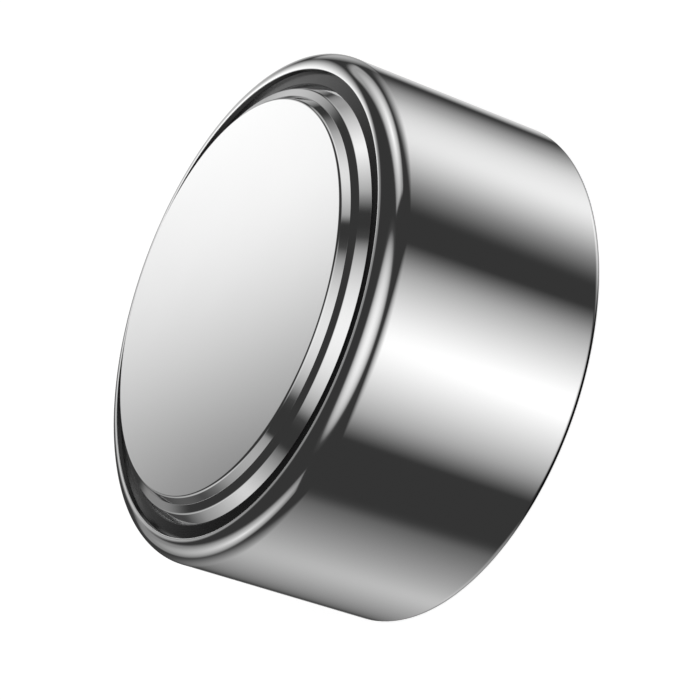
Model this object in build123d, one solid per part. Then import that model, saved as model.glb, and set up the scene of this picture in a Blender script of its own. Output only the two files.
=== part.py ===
"""Button cell of the 44 size: a can crimped over a nylon gasket, which holds the cap and the filling.

Sizes are in millimetres. The cell stands on its positive base at z = 0, its axis is Z, and its
negative contact face is on top. Each piece is one section, turned about the axis.
"""

import os

from build123d import *

# The whole cell
CELL_DIAMETER = 11.60
CELL_HEIGHT = 5.80
CAP_RISE = 0.39  # contact face above the can's rim

# Can: a drawn cup with its rim bent in over the gasket
CAN_WALL = 0.25
BASE_EDGE_RADIUS = 0.20
RIM_BEND_RADIUS = 0.50  # outside of the bend
RIM_BEND_BEVEL = 0.17  # inside of the bend

# Cap: drawn in steps, with its rim folded back up outside its neck
CAP_WALL = 0.25
CONTACT_EDGE_BEVEL = 0.033
UPPER_WALL_RUN = 0.117
UPPER_WALL_DROP = 0.187
SHOULDER_WIDTH = 0.190
SHOULDER_DROP = 0.054
LOWER_WALL_RUN = 0.175  # from the shoulder out to the neck
FOLD_GAP = 0.040  # between the neck and the folded rim
FOLD_BEVEL = 0.12  # outside of the fold

# Gasket: a foot, a groove for the folded rim, and a wall that the can's rim presses inwards
GASKET_WALL = 0.28  # between the folded rim and the can
GASKET_FOOT = 0.35  # under the folded rim
GASKET_CROWN = 0.28  # between the folded rim and the bent lip
GASKET_INNER_WALL = 0.30  # inside the cap
GASKET_INNER_HEIGHT = 0.95
GASKET_RECESS = 0.067  # its top, below the can's rim

# Filling, from the can's floor up
PELLET_HEIGHT = 2.50
FILM_THICKNESS = 0.08
PAD_THICKNESS = 0.22
SEPARATOR_CLEARANCE = 0.05  # from film and pad to the can's wall

# Worked out from the sizes above
CAN_RADIUS = CELL_DIAMETER / 2
CAN_BORE_RADIUS = CAN_RADIUS - CAN_WALL
RIM_TOP = CELL_HEIGHT - CAP_RISE
LIP_RADIUS = CAN_RADIUS - RIM_BEND_RADIUS
LIP_UNDERSIDE = RIM_TOP - CAN_WALL

PELLET_TOP = CAN_WALL + PELLET_HEIGHT
FILM_TOP = PELLET_TOP + FILM_THICKNESS
PAD_TOP = FILM_TOP + PAD_THICKNESS
SEPARATOR_RADIUS = CAN_BORE_RADIUS - SEPARATOR_CLEARANCE

GROOVE_FLOOR = PAD_TOP + GASKET_FOOT
INNER_WALL_TOP = PAD_TOP + GASKET_INNER_HEIGHT
FOLD_RADIUS = CAN_BORE_RADIUS - GASKET_WALL
FOLD_TOP = LIP_UNDERSIDE - GASKET_CROWN

NECK_RADIUS = FOLD_RADIUS - CAP_WALL - FOLD_GAP
NECK_BORE_RADIUS = NECK_RADIUS - CAP_WALL
NECK_TOP = RIM_TOP - GASKET_RECESS
NECK_FOOT = GROOVE_FLOOR + CAP_WALL
INNER_WALL_RADIUS = NECK_BORE_RADIUS - GASKET_INNER_WALL


def turned(*lines):
    """The solid whose half section these lines enclose, with x as radius and y as height."""
    edges = [edge for line in lines for edge in line.edges()]
    return revolve(Plane.XZ * make_face(edges), Axis.Z)


def disc(radius, bottom, top):
    """A plain round disc between two heights."""
    return turned(Polyline((0, bottom), (radius, bottom), (radius, top), (0, top), close=True))


def positive_can():
    """The cup: flat base, straight side, and a rim bent a quarter turn inwards."""
    base_edge = CenterArc(
        (CAN_RADIUS - BASE_EDGE_RADIUS, BASE_EDGE_RADIUS), BASE_EDGE_RADIUS, -90, 90
    )
    rim_bend = CenterArc((LIP_RADIUS, RIM_TOP - RIM_BEND_RADIUS), RIM_BEND_RADIUS, 0, 90)
    inside = Polyline(
        (LIP_RADIUS, RIM_TOP),
        (LIP_RADIUS, LIP_UNDERSIDE),
        (CAN_BORE_RADIUS - RIM_BEND_BEVEL, LIP_UNDERSIDE),
        (CAN_BORE_RADIUS, LIP_UNDERSIDE - RIM_BEND_BEVEL),
        (CAN_BORE_RADIUS, CAN_WALL),
        (0, CAN_WALL),
        (0, 0),
    )
    base = Line((0, 0), base_edge @ 0)
    side = Line(base_edge @ 1, rim_bend @ 0)
    return turned(base, base_edge, side, rim_bend, inside)


def cap_steps():
    """The cap's outer line, from the middle of the contact face down its steps to the neck's foot."""
    shoulder_outer_radius = NECK_RADIUS - LOWER_WALL_RUN
    shoulder_inner_radius = shoulder_outer_radius - SHOULDER_WIDTH
    contact_radius = shoulder_inner_radius - UPPER_WALL_RUN
    upper_wall_foot = CELL_HEIGHT - UPPER_WALL_DROP
    return Polyline(
        (0, CELL_HEIGHT),
        (contact_radius, CELL_HEIGHT),
        (shoulder_inner_radius, upper_wall_foot),
        (shoulder_outer_radius, upper_wall_foot - SHOULDER_DROP),
        (NECK_RADIUS, NECK_TOP),
        (NECK_RADIUS, NECK_FOOT),
    )


def negative_cap():
    """One sheet of even thickness: the steps, the neck, and the rim folded back up outside it."""
    folded_rim = Polyline(
        (NECK_RADIUS, NECK_FOOT),
        (NECK_RADIUS + FOLD_GAP, NECK_FOOT),
        (NECK_RADIUS + FOLD_GAP, FOLD_TOP),
    )
    outer_line = Wire(cap_steps().edges() + folded_rim.edges())
    sheet = turned(outer_line.offset_2d(CAP_WALL, Kind.INTERSECTION, Side.RIGHT))
    contact_edge = sheet.edges().group_by(Axis.Z)[-1]
    sheet = chamfer(contact_edge, CONTACT_EDGE_BEVEL)
    edges_of_the_fold = sheet.edges().group_by(Axis.Z)[0]
    return chamfer(edges_of_the_fold, FOLD_BEVEL)


def sealing_gasket():
    """The ring: a foot under the folded rim, walls on both sides of it, and a crown over it."""
    outside = Polyline(
        (INNER_WALL_RADIUS, PAD_TOP),
        (CAN_BORE_RADIUS, PAD_TOP),
        (CAN_BORE_RADIUS, LIP_UNDERSIDE - RIM_BEND_BEVEL),
        (CAN_BORE_RADIUS - RIM_BEND_BEVEL, LIP_UNDERSIDE),
        (LIP_RADIUS, LIP_UNDERSIDE),
        (LIP_RADIUS, NECK_TOP),
        (NECK_RADIUS, NECK_TOP),
    )
    groove = Polyline(
        (NECK_RADIUS, NECK_TOP),
        (NECK_RADIUS, FOLD_TOP),
        (FOLD_RADIUS, FOLD_TOP),
        (FOLD_RADIUS, GROOVE_FLOOR + FOLD_BEVEL),
        (FOLD_RADIUS - FOLD_BEVEL, GROOVE_FLOOR),
        (NECK_BORE_RADIUS + FOLD_BEVEL, GROOVE_FLOOR),
        (NECK_BORE_RADIUS, GROOVE_FLOOR + FOLD_BEVEL),
    )
    inside = Polyline(
        (NECK_BORE_RADIUS, GROOVE_FLOOR + FOLD_BEVEL),
        (NECK_BORE_RADIUS, INNER_WALL_TOP),
        (INNER_WALL_RADIUS, INNER_WALL_TOP),
        (INNER_WALL_RADIUS, PAD_TOP),
    )
    return turned(outside, groove, inside)


def anode_gel():
    """The gel, in the shape of the space that cap, gasket and pad leave it."""
    under_the_cap = cap_steps().wire().offset_2d(CAP_WALL, Kind.INTERSECTION, Side.RIGHT, closed=False)
    beside_the_gasket = Polyline(
        (NECK_BORE_RADIUS, NECK_FOOT),
        (NECK_BORE_RADIUS, INNER_WALL_TOP),
        (INNER_WALL_RADIUS, INNER_WALL_TOP),
        (INNER_WALL_RADIUS, PAD_TOP),
        (0, PAD_TOP),
        (0, CELL_HEIGHT - CAP_WALL),
    )
    return turned(under_the_cap, beside_the_gasket)


PIECES = {
    "positive_can": positive_can(),
    "cathode_pellet": disc(CAN_BORE_RADIUS, CAN_WALL, PELLET_TOP),
    "barrier_film": disc(SEPARATOR_RADIUS, PELLET_TOP, FILM_TOP),
    "absorbent_pad": disc(SEPARATOR_RADIUS, FILM_TOP, PAD_TOP),
    "sealing_gasket": sealing_gasket(),
    "anode_gel": anode_gel(),
    "negative_cap": negative_cap(),
}

os.makedirs("parts", exist_ok=True)
for name, solid in PIECES.items():
    export_step(solid, f"parts/{name}.step")
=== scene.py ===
import math

import bpy
from mathutils import Matrix, Vector


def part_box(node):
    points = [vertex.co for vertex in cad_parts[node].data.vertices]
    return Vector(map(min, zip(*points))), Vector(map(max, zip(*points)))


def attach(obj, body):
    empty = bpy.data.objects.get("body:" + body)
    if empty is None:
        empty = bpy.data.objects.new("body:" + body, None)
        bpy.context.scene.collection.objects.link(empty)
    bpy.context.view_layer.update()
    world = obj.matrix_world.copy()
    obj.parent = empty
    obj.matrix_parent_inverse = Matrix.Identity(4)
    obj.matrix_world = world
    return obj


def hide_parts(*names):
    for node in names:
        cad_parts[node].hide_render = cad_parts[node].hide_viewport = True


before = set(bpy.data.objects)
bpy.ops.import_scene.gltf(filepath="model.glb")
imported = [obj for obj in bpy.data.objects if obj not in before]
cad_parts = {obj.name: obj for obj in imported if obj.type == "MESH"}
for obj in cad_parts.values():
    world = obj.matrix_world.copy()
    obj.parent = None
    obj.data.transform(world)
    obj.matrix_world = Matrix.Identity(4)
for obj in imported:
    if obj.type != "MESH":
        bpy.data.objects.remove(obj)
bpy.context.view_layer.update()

# Positive can: the cup that holds everything, deep drawn from steel strip and nickel plated, so it
# is polished all over. Its rim was bent a quarter turn inwards, over the gasket, to close the cell.
# It stands on its flat base, which is the positive contact.
MM = 0.001
FULL_TURN = 2 * math.pi
SEGMENTS_ROUND = 288
ARC_STEP = math.radians(5)
SHEET = 0.25 * MM  # thickness of can and cap
NICKEL_GREY = 0.75  # share of the light that the plate mirrors


def rounded_corner(before, corner, after, rounding):
    """Points round a corner of a section, each with the direction that faces out of the metal."""
    to_corner = (corner - before).normalized()
    from_corner = (after - corner).normalized()
    turn = to_corner.angle_signed(from_corner)
    # angle_signed is positive clockwise, and a section runs counter-clockwise round its metal
    sign = -1 if turn > 0 else 1
    tangent = rounding * math.tan(abs(turn) / 2)
    start = corner - to_corner * tangent
    facing = Vector((to_corner.y, -to_corner.x))
    centre = start - facing * rounding * sign
    steps = max(2, math.ceil(abs(turn) / ARC_STEP))
    points = []
    for step in range(steps + 1):
        spin = Matrix.Rotation(-turn * step / steps, 2)
        outwards = spin @ facing
        points.append((centre + outwards * rounding * sign, outwards))
    return points


def turned(name, corners):
    """A piece made by turning its section about the axis: corners are (radius, height, rounding)."""
    spots = [Vector((radius, height)) for radius, height, _ in corners]
    closed = spots[0].x > 0
    section = []
    for index, (radius, height, rounding) in enumerate(corners):
        if radius == 0:
            face = spots[1] - spots[0] if index == 0 else spots[-1] - spots[-2]
            section.append((spots[index], Vector((face.y, -face.x)).normalized()))
        else:
            after = spots[(index + 1) % len(spots)]
            section += rounded_corner(spots[index - 1], spots[index], after, rounding)
    rings, vertices, normals = [], [], []
    for spot, outwards in section:
        count = 1 if spot.x == 0 else SEGMENTS_ROUND
        rings.append([len(vertices) + (i if count > 1 else 0) for i in range(SEGMENTS_ROUND)])
        for i in range(count):
            angle = FULL_TURN * i / SEGMENTS_ROUND
            vertices.append((spot.x * math.cos(angle), spot.x * math.sin(angle), spot.y))
            normals.append((outwards.x * math.cos(angle), outwards.x * math.sin(angle), outwards.y))
    faces = []
    for lower, upper in zip(rings, rings[1:] + rings[:1] if closed else rings[1:]):
        for i in range(SEGMENTS_ROUND):
            j = (i + 1) % SEGMENTS_ROUND
            corner_loop = [lower[i], lower[j], upper[j], upper[i]]
            faces.append(list(dict.fromkeys(corner_loop)))
    mesh = bpy.data.meshes.new(name)
    mesh.from_pydata(vertices, [], faces)
    mesh.shade_smooth()
    mesh.normals_split_custom_set_from_vertices(normals)
    piece = bpy.data.objects.new(name, mesh)
    bpy.context.scene.collection.objects.link(piece)
    return piece


def new_finish(name):
    """A material with its node tree, its shader and the place of each point on the piece."""
    finish = bpy.data.materials.new(name)
    finish.use_nodes = True
    nodes = finish.node_tree.nodes
    place = nodes.new("ShaderNodeTexCoord").outputs["Object"]
    return finish, nodes, finish.node_tree.links, nodes["Principled BSDF"], place


def nickel_plate(name):
    """Polished nickel over steel, whose gloss is a little uneven."""
    finish, nodes, links, shader, place = new_finish(name)
    shader.inputs["Base Color"].default_value = (NICKEL_GREY, NICKEL_GREY, NICKEL_GREY, 1)
    shader.inputs["Metallic"].default_value = 1
    clouds = nodes.new("ShaderNodeTexNoise")
    clouds.inputs["Scale"].default_value = 900
    clouds.inputs["Detail"].default_value = 4
    gloss = nodes.new("ShaderNodeMapRange")
    gloss.inputs["From Min"].default_value = 0.3
    gloss.inputs["From Max"].default_value = 0.7
    gloss.inputs["To Min"].default_value = 0.05
    gloss.inputs["To Max"].default_value = 0.07
    links.new(place, clouds.inputs["Vector"])
    links.new(clouds.outputs["Fac"], gloss.inputs["Value"])
    links.new(gloss.outputs["Result"], shader.inputs["Roughness"])
    return finish


can_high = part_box("positive_can")[1]
can_radius = can_high.x
can_bore = can_radius - SHEET
rim_top = can_high.z
base_edge = 0.20 * MM
rim_bend = 0.50 * MM
lip_edge = 0.012 * MM
floor_corner = 0.06 * MM
lip_radius = can_radius - rim_bend

can = turned("can_shell", [
    (0, 0, 0),
    (can_radius, 0, base_edge),
    (can_radius, rim_top, rim_bend - lip_edge),
    (lip_radius, rim_top, lip_edge),
    (lip_radius, rim_top - SHEET, lip_edge),
    (can_bore, rim_top - SHEET, rim_bend - SHEET),
    (can_bore, SHEET, floor_corner),
    (0, SHEET, 0),
])
can.data.materials.append(nickel_plate("can_nickel"))
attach(can, "root")
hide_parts("positive_can")

# Cathode pellet: manganese dioxide and graphite powder, pressed into a black disc that fills the
# lower half of the can. The press leaves its faces dull and faintly speckled.


def speckled(name, dark, light, grain, dullness):
    """A finish with a fine speckle between two colours, and a slight relief that follows it."""
    finish, nodes, links, shader, place = new_finish(name)
    shader.inputs["Roughness"].default_value = dullness
    speckle = nodes.new("ShaderNodeTexNoise")
    speckle.inputs["Scale"].default_value = 1 / grain
    speckle.inputs["Detail"].default_value = 6
    shades = nodes.new("ShaderNodeValToRGB")
    shades.color_ramp.elements[0].position = 0.35
    shades.color_ramp.elements[0].color = dark
    shades.color_ramp.elements[1].position = 0.65
    shades.color_ramp.elements[1].color = light
    relief = nodes.new("ShaderNodeBump")
    relief.inputs["Distance"].default_value = grain / 10
    links.new(place, speckle.inputs["Vector"])
    links.new(speckle.outputs["Fac"], shades.inputs["Fac"])
    links.new(shades.outputs["Color"], shader.inputs["Base Color"])
    links.new(speckle.outputs["Fac"], relief.inputs["Height"])
    links.new(relief.outputs["Normal"], shader.inputs["Normal"])
    return finish


def refinish(node, finish):
    """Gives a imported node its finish, and leaves its mesh as it is."""
    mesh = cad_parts[node].data
    mesh.materials.clear()
    mesh.materials.append(finish)


pressed_grain = 0.15 * MM
refinish("cathode_pellet", speckled(
    "cathode_mix", (0.012, 0.012, 0.014, 1), (0.035, 0.035, 0.038, 1), pressed_grain, 0.7))

# Barrier film: a thin disc of clear film on the pellet, which stops its particles from passing.
# It is cut from a roll, and shows the faint ripples of the rolling.
film_ripple = 0.8 * MM
refinish("barrier_film", speckled(
    "clear_film", (0.70, 0.68, 0.60, 1), (0.76, 0.74, 0.66, 1), film_ripple, 0.25))

# Absorbent pad: a disc of white non-woven felt on the film, which holds the electrolyte.
# Its fibres give it a soft, uneven surface.
felt_fibre = 0.10 * MM
refinish("absorbent_pad", speckled(
    "absorbent_felt", (0.62, 0.61, 0.57, 1), (0.80, 0.79, 0.75, 1), felt_fibre, 0.9))

# Sealing gasket: a moulded ring of black nylon that keeps can and cap apart. The cap's folded rim
# sits in its groove, and the can's bent rim squeezes its top, which shows between the two.
cap_low, cap_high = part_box("negative_cap")
gasket_low, gasket_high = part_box("sealing_gasket")
gasket_crown = 0.28 * MM  # between the folded rim and the bent lip
gasket_inner_wall = 0.30 * MM  # inside the cap
gasket_inner_height = 0.95 * MM
gasket_slope = 0.056 * MM  # how far its top falls from the cap out to the lip
mould_edge = 0.015 * MM
fold_gap = 0.04 * MM  # between the cap's neck and its folded rim
fold_edge = 0.12 * MM  # rounding outside the fold
fold_radius = cap_high.x
fold_top = rim_top - SHEET - gasket_crown
fold_bottom = cap_low.z
neck_radius = fold_radius - SHEET - fold_gap
neck_bore = neck_radius - SHEET
neck_top = gasket_high.z
inner_wall_radius = neck_bore - gasket_inner_wall
inner_wall_top = gasket_low.z + gasket_inner_height


def black_nylon():
    """Moulded nylon: nearly black, with a soft gloss that follows a very fine grain."""
    finish, nodes, links, shader, place = new_finish("black_nylon")
    shader.inputs["Base Color"].default_value = (0.0015, 0.0015, 0.0015, 1)
    shader.inputs["IOR"].default_value = 1.6
    grain = nodes.new("ShaderNodeTexNoise")
    grain.inputs["Scale"].default_value = 6000
    gloss = nodes.new("ShaderNodeMapRange")
    gloss.inputs["To Min"].default_value = 0.22
    gloss.inputs["To Max"].default_value = 0.28
    links.new(place, grain.inputs["Vector"])
    links.new(grain.outputs["Fac"], gloss.inputs["Value"])
    links.new(gloss.outputs["Result"], shader.inputs["Roughness"])
    return finish


gasket = turned("gasket_ring", [
    (inner_wall_radius, gasket_low.z, mould_edge),
    (can_bore, gasket_low.z, mould_edge),
    (can_bore, rim_top - SHEET, rim_bend - SHEET),
    (lip_radius, rim_top - SHEET, mould_edge),
    (lip_radius, neck_top - gasket_slope, mould_edge),
    (neck_radius, neck_top, mould_edge),
    (neck_radius, fold_top, mould_edge),
    (fold_radius, fold_top, mould_edge),
    (fold_radius, fold_bottom, fold_edge),
    (neck_bore, fold_bottom, fold_edge),
    (neck_bore, inner_wall_top, mould_edge),
    (inner_wall_radius, inner_wall_top, mould_edge),
])
gasket.data.materials.append(black_nylon())
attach(gasket, "root")
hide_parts("sealing_gasket")

# Anode gel: zinc powder in a thick electrolyte gel, poured into the cap before the cell is closed.
# It is grey and grainy, and takes the shape of the space that cap, gasket and pad leave it.
zinc_grain = 0.12 * MM
refinish("anode_gel", speckled(
    "zinc_gel", (0.20, 0.21, 0.22, 1), (0.42, 0.43, 0.45, 1), zinc_grain, 0.5))

# Negative cap: pressed in steps from nickel-plated strip, with its rim folded back up outside its
# neck. Its raised flat top is the negative contact. The gasket holds it by the folded rim.
upper_wall_run = 0.117 * MM
upper_wall_drop = 0.187 * MM
shoulder_width = 0.190 * MM
shoulder_drop = 0.054 * MM
lower_wall_run = 0.175 * MM
contact_edge = 0.08 * MM
shoulder_edge = 0.08 * MM
press_edge = 0.010 * MM  # the sharpest bend that the press leaves
cut_edge = 0.020 * MM  # where the strip was cut
shoulder_outer = neck_radius - lower_wall_run
shoulder_inner = shoulder_outer - shoulder_width
contact_radius = shoulder_inner - upper_wall_run
shoulder_top = cap_high.z - upper_wall_drop
fold_inside = fold_bottom + SHEET

# Corners of the outer line: radius, height, and the rounding on the outer and the inner face
cap_corners = [
    (0, cap_high.z, 0, 0),
    (contact_radius, cap_high.z, contact_edge, press_edge),
    (shoulder_inner, shoulder_top, press_edge, press_edge),
    (shoulder_outer, shoulder_top - shoulder_drop, shoulder_edge, press_edge),
    (neck_radius, neck_top, press_edge, press_edge),
    (neck_radius, fold_inside, fold_gap / 3, fold_edge),
    (neck_radius + fold_gap, fold_inside, fold_gap / 3, fold_edge),
    (neck_radius + fold_gap, fold_top, cut_edge, cut_edge),
]


def other_face(line, thickness):
    """The line that runs beside this one at an even distance, on the other face of the sheet."""
    shifted = []
    for index, spot in enumerate(line):
        before = (spot - line[index - 1]).normalized() if index else None
        after = (line[index + 1] - spot).normalized() if index + 1 < len(line) else None
        before, after = before or after, after or before
        half = (before + after).normalized()
        sideways = Vector((half.y, -half.x))
        shifted.append(spot + sideways * thickness / half.dot(before))
    return shifted


outer_line = [Vector((radius, height)) for radius, height, _, _ in cap_corners]
outer_face = [(radius, height, outer) for radius, height, outer, _ in cap_corners]
inner_face = [
    (spot.x, spot.y, corner[3]) for spot, corner in zip(other_face(outer_line, SHEET), cap_corners)
]
cap = turned("cap_shell", inner_face + outer_face[::-1])
cap.data.materials.append(nickel_plate("cap_nickel"))
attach(cap, "root")
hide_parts("negative_cap")

# Floor: a plain white table top. Polished metal doesn't mirror it, and it is clear from below, so
# the can's side mirrors the studio all round, and the base can be looked at.
floor_size = 400 * MM
floor_glow = 0.80
floor_mesh = bpy.data.meshes.new("floor")
floor_mesh.from_pydata(
    [(x * floor_size / 2, y * floor_size / 2, 0) for x, y in ((-1, -1), (1, -1), (1, 1), (-1, 1))],
    [], [(0, 1, 2, 3)])
floor = bpy.data.objects.new("floor", floor_mesh)
bpy.context.scene.collection.objects.link(floor)


def table_top():
    """White, with a soft shadow, for what looks down at it, and clear for everything else."""
    finish = bpy.data.materials.new("table_top")
    finish.use_nodes = True
    nodes, links = finish.node_tree.nodes, finish.node_tree.links
    nodes.remove(nodes["Principled BSDF"])
    paint = nodes.new("ShaderNodeBsdfDiffuse")
    paint.inputs["Color"].default_value = (0.8, 0.8, 0.8, 1)
    glow = nodes.new("ShaderNodeEmission")
    glow.inputs["Strength"].default_value = floor_glow
    both = nodes.new("ShaderNodeAddShader")
    clear = nodes.new("ShaderNodeBsdfTransparent")
    path = nodes.new("ShaderNodeLightPath")
    side = nodes.new("ShaderNodeNewGeometry")
    seen_from_above = nodes.new("ShaderNodeMath")
    seen_from_above.operation = "SUBTRACT"
    seen_from_above.use_clamp = True
    look = nodes.new("ShaderNodeMixShader")
    links.new(paint.outputs["BSDF"], both.inputs[0])
    links.new(glow.outputs["Emission"], both.inputs[1])
    links.new(path.outputs["Is Camera Ray"], seen_from_above.inputs[0])
    links.new(side.outputs["Backfacing"], seen_from_above.inputs[1])
    links.new(seen_from_above.outputs["Value"], look.inputs["Fac"])
    links.new(clear.outputs["BSDF"], look.inputs[1])
    links.new(both.outputs["Shader"], look.inputs[2])
    links.new(look.outputs["Shader"], nodes["Material Output"].inputs["Surface"])
    return finish


floor_mesh.materials.append(table_top())

# Studio: large soft lights all round in a dim room, which the polished metal mirrors as its bright
# and dark bands. Each light is brightest at one spot and fades from there to its edge. They are
# painted on the sky around the cell, which is plain white only where the camera sees it directly.
studio = bpy.data.worlds.new("studio")
studio.use_nodes = True
bpy.context.scene.world = studio
studio_nodes, studio_links = studio.node_tree.nodes, studio.node_tree.links
looking = studio_nodes.new("ShaderNodeTexCoord").outputs["Generated"]
ROOM_LIGHT = 0.034
NEARLY_SIDEWAYS = 0.05  # a light shows only where the direction runs further than this towards it


def step_of(operation, *values):
    """One step of arithmetic between sockets or plain numbers."""
    node = studio_nodes.new("ShaderNodeMath")
    node.operation = operation
    for socket, value in zip(node.inputs, values):
        if isinstance(value, bpy.types.NodeSocket):
            studio_links.new(value, socket)
        else:
            socket.default_value = value
    return node.outputs["Value"]


def along(vector):
    """How far the looked-at direction runs along a vector."""
    node = studio_nodes.new("ShaderNodeVectorMath")
    node.operation = "DOT_PRODUCT"
    studio_links.new(looking, node.inputs[0])
    node.inputs[1].default_value = vector
    return node.outputs["Value"]


def length_of(across, up):
    """The length of a flat vector."""
    return step_of("SQRT", step_of("ADD", step_of("POWER", across, 2), step_of("POWER", up, 2)))


def fade(distance, softness):
    """1 inside the light's edge and 0 outside it, with a smooth change between them."""
    node = studio_nodes.new("ShaderNodeMapRange")
    node.interpolation_type = "SMOOTHSTEP"
    node.inputs["From Min"].default_value = 1 + softness / 2
    node.inputs["From Max"].default_value = 1 - softness / 2
    studio_links.new(distance, node.inputs["Value"])
    return node.outputs["Result"]


def soft_light(azimuth, elevation, size, softness, spot, edge=0,
               moved=(0, 0), falloff=1, tilt=0, oblong=False):
    """The brightness of one light, round or oblong, on a screen that faces the cell.

    Azimuth 0 is the camera's side and 90 the right-hand side. Size is half the width and half the
    height, where the screen stands at a distance of 1. Spot and edge are the brightness that the
    nickel shows there, and moved is the spot's place, in half sizes from the middle.
    """
    turn = Matrix.Rotation(math.radians(azimuth), 3, "Z")
    rise = Matrix.Rotation(math.radians(-elevation), 3, "X")
    lean = Matrix.Rotation(math.radians(-tilt), 3, "Y")
    facing = turn @ rise @ lean
    half_width, half_height = size
    ahead = along(facing @ Vector((0, -1, 0)))
    depth = step_of("MAXIMUM", ahead, NEARLY_SIDEWAYS)
    across = step_of("DIVIDE", along(facing @ Vector((1 / half_width, 0, 0))), depth)
    up = step_of("DIVIDE", along(facing @ Vector((0, 0, 1 / half_height))), depth)
    if oblong:
        inside = step_of(
            "MULTIPLY",
            fade(step_of("ABSOLUTE", across), softness / half_width),
            fade(step_of("ABSOLUTE", up), softness / half_height))
    else:
        inside = fade(length_of(across, up), softness)
    from_spot = length_of(step_of("SUBTRACT", across, moved[0]), step_of("SUBTRACT", up, moved[1]))
    falling = step_of("MAXIMUM", step_of("SUBTRACT", 1, step_of("POWER", from_spot, falloff)), 0)
    glow = step_of("MULTIPLY_ADD", falling, (spot - edge) / NICKEL_GREY, edge / NICKEL_GREY)
    in_front = step_of("GREATER_THAN", ahead, NEARLY_SIDEWAYS)
    return step_of("MULTIPLY", step_of("MULTIPLY", glow, inside), in_front)


lights = [
    # Above the camera: the cap's walls and the bend of the can's rim
    soft_light(2.7, 50.7, size=(0.77, 0.75), softness=0.42, spot=0.85, edge=0.04, falloff=1.75),
    # Right and left: the ends of the cap's walls and of the bend
    soft_light(105.2, 22, size=(0.79, 0.28), softness=0.14, spot=1, edge=0.28,
               moved=(-0.12, 0.02), falloff=0.76, tilt=-6, oblong=True),
    soft_light(-118.1, 24.5, size=(1.04, 0.27), softness=0.13, spot=0.81, edge=0.19,
               moved=(0.13, 0.02), falloff=0.61, tilt=11, oblong=True),
    # Behind: the contact face, and the thin line along the far side of the rim
    soft_light(167.9, 8.4, size=(0.42, 0.38), softness=0.13, spot=1.21,
               moved=(0.63, 0.1), falloff=0.78, tilt=58, oblong=True),
    soft_light(177.4, 36.5, size=(0.17, 0.15), softness=1.03, spot=0.21, edge=0.21),
    soft_light(189.1, 26.1, size=(0.04, 0.09), softness=3.29, spot=0.41, edge=0.41),
    soft_light(141.9, -5.6, size=(0.27, 0.34), softness=0.06, spot=0.37,
               moved=(0.8, -0.2), falloff=1.77, tilt=-7, oblong=True),
    # Low, in front, right, left and behind: the wide bands on the can's side
    soft_light(3.1, -34.5, size=(0.77, 0.79), softness=0.78, spot=1.15, falloff=0.87),
    soft_light(105.2, -37.4, size=(0.46, 0.5), softness=1.46, spot=1.02, edge=0.53,
               moved=(-0.13, -0.01), falloff=0.55),
    soft_light(-117.1, -30.7, size=(0.82, 0.84), softness=0.3, spot=0.69, edge=0.03,
               moved=(0.03, -0.13), falloff=0.51),
    soft_light(173, -31.8, size=(0.35, 0.97), softness=0.66, spot=0.61, falloff=1.86),
]
glow_all_round = ROOM_LIGHT / NICKEL_GREY
for light in lights:
    glow_all_round = step_of("ADD", glow_all_round, light)

# Nothing shines from straight below, where the table stands
above_the_table = studio_nodes.new("ShaderNodeMapRange")
above_the_table.interpolation_type = "SMOOTHSTEP"
above_the_table.inputs["From Min"].default_value = -0.95
above_the_table.inputs["From Max"].default_value = -0.85
studio_links.new(along((0, 0, 1)), above_the_table.inputs["Value"])
glow_all_round = step_of("MULTIPLY", glow_all_round, above_the_table.outputs["Result"])

seen = studio_nodes.new("ShaderNodeLightPath").outputs["Is Camera Ray"]
white_where_seen = studio_nodes.new("ShaderNodeMix")
white_where_seen.data_type = "FLOAT"
white_where_seen.inputs["B"].default_value = 1
studio_links.new(seen, white_where_seen.inputs["Factor"])
studio_links.new(glow_all_round, white_where_seen.inputs["A"])
backdrop = studio_nodes["Background"]
backdrop.inputs["Color"].default_value = (1, 1, 1, 1)
studio_links.new(white_where_seen.outputs["Result"], backdrop.inputs["Strength"])

# Camera: a long lens close by, which looks down at the cell from its front. It is turned almost on
# its side, so that the cell seems to stand on edge with its cap to the left.
view_elevation = math.radians(28.44)
camera_roll = math.radians(70.97)
camera_distance = 11.423 * can_radius
aim_right = 0.4104 * can_radius
aim_up = -0.1817 * can_radius
sensor_width = 36
lens = 157.5

towards_camera = Vector((0, -math.cos(view_elevation), math.sin(view_elevation)))
level_right = Vector((1, 0, 0))
level_up = towards_camera.cross(level_right)
view_right = level_right * math.cos(camera_roll) - level_up * math.sin(camera_roll)
view_up = level_right * math.sin(camera_roll) + level_up * math.cos(camera_roll)
aim = Vector((0, 0, rim_top)) + view_right * aim_right + view_up * aim_up
camera_data = bpy.data.cameras.new("camera")
camera_data.lens = lens
camera_data.sensor_width = sensor_width
camera_data.clip_start = can_radius / 10
camera_data.clip_end = 100 * can_radius
camera = bpy.data.objects.new("camera", camera_data)
bpy.context.scene.collection.objects.link(camera)
stance = Matrix((view_right, view_up, towards_camera)).transposed()
camera.matrix_world = Matrix.Translation(aim + towards_camera * camera_distance) @ stance.to_4x4()
bpy.context.scene.camera = camera

bpy.context.scene.view_settings.view_transform = "Standard"
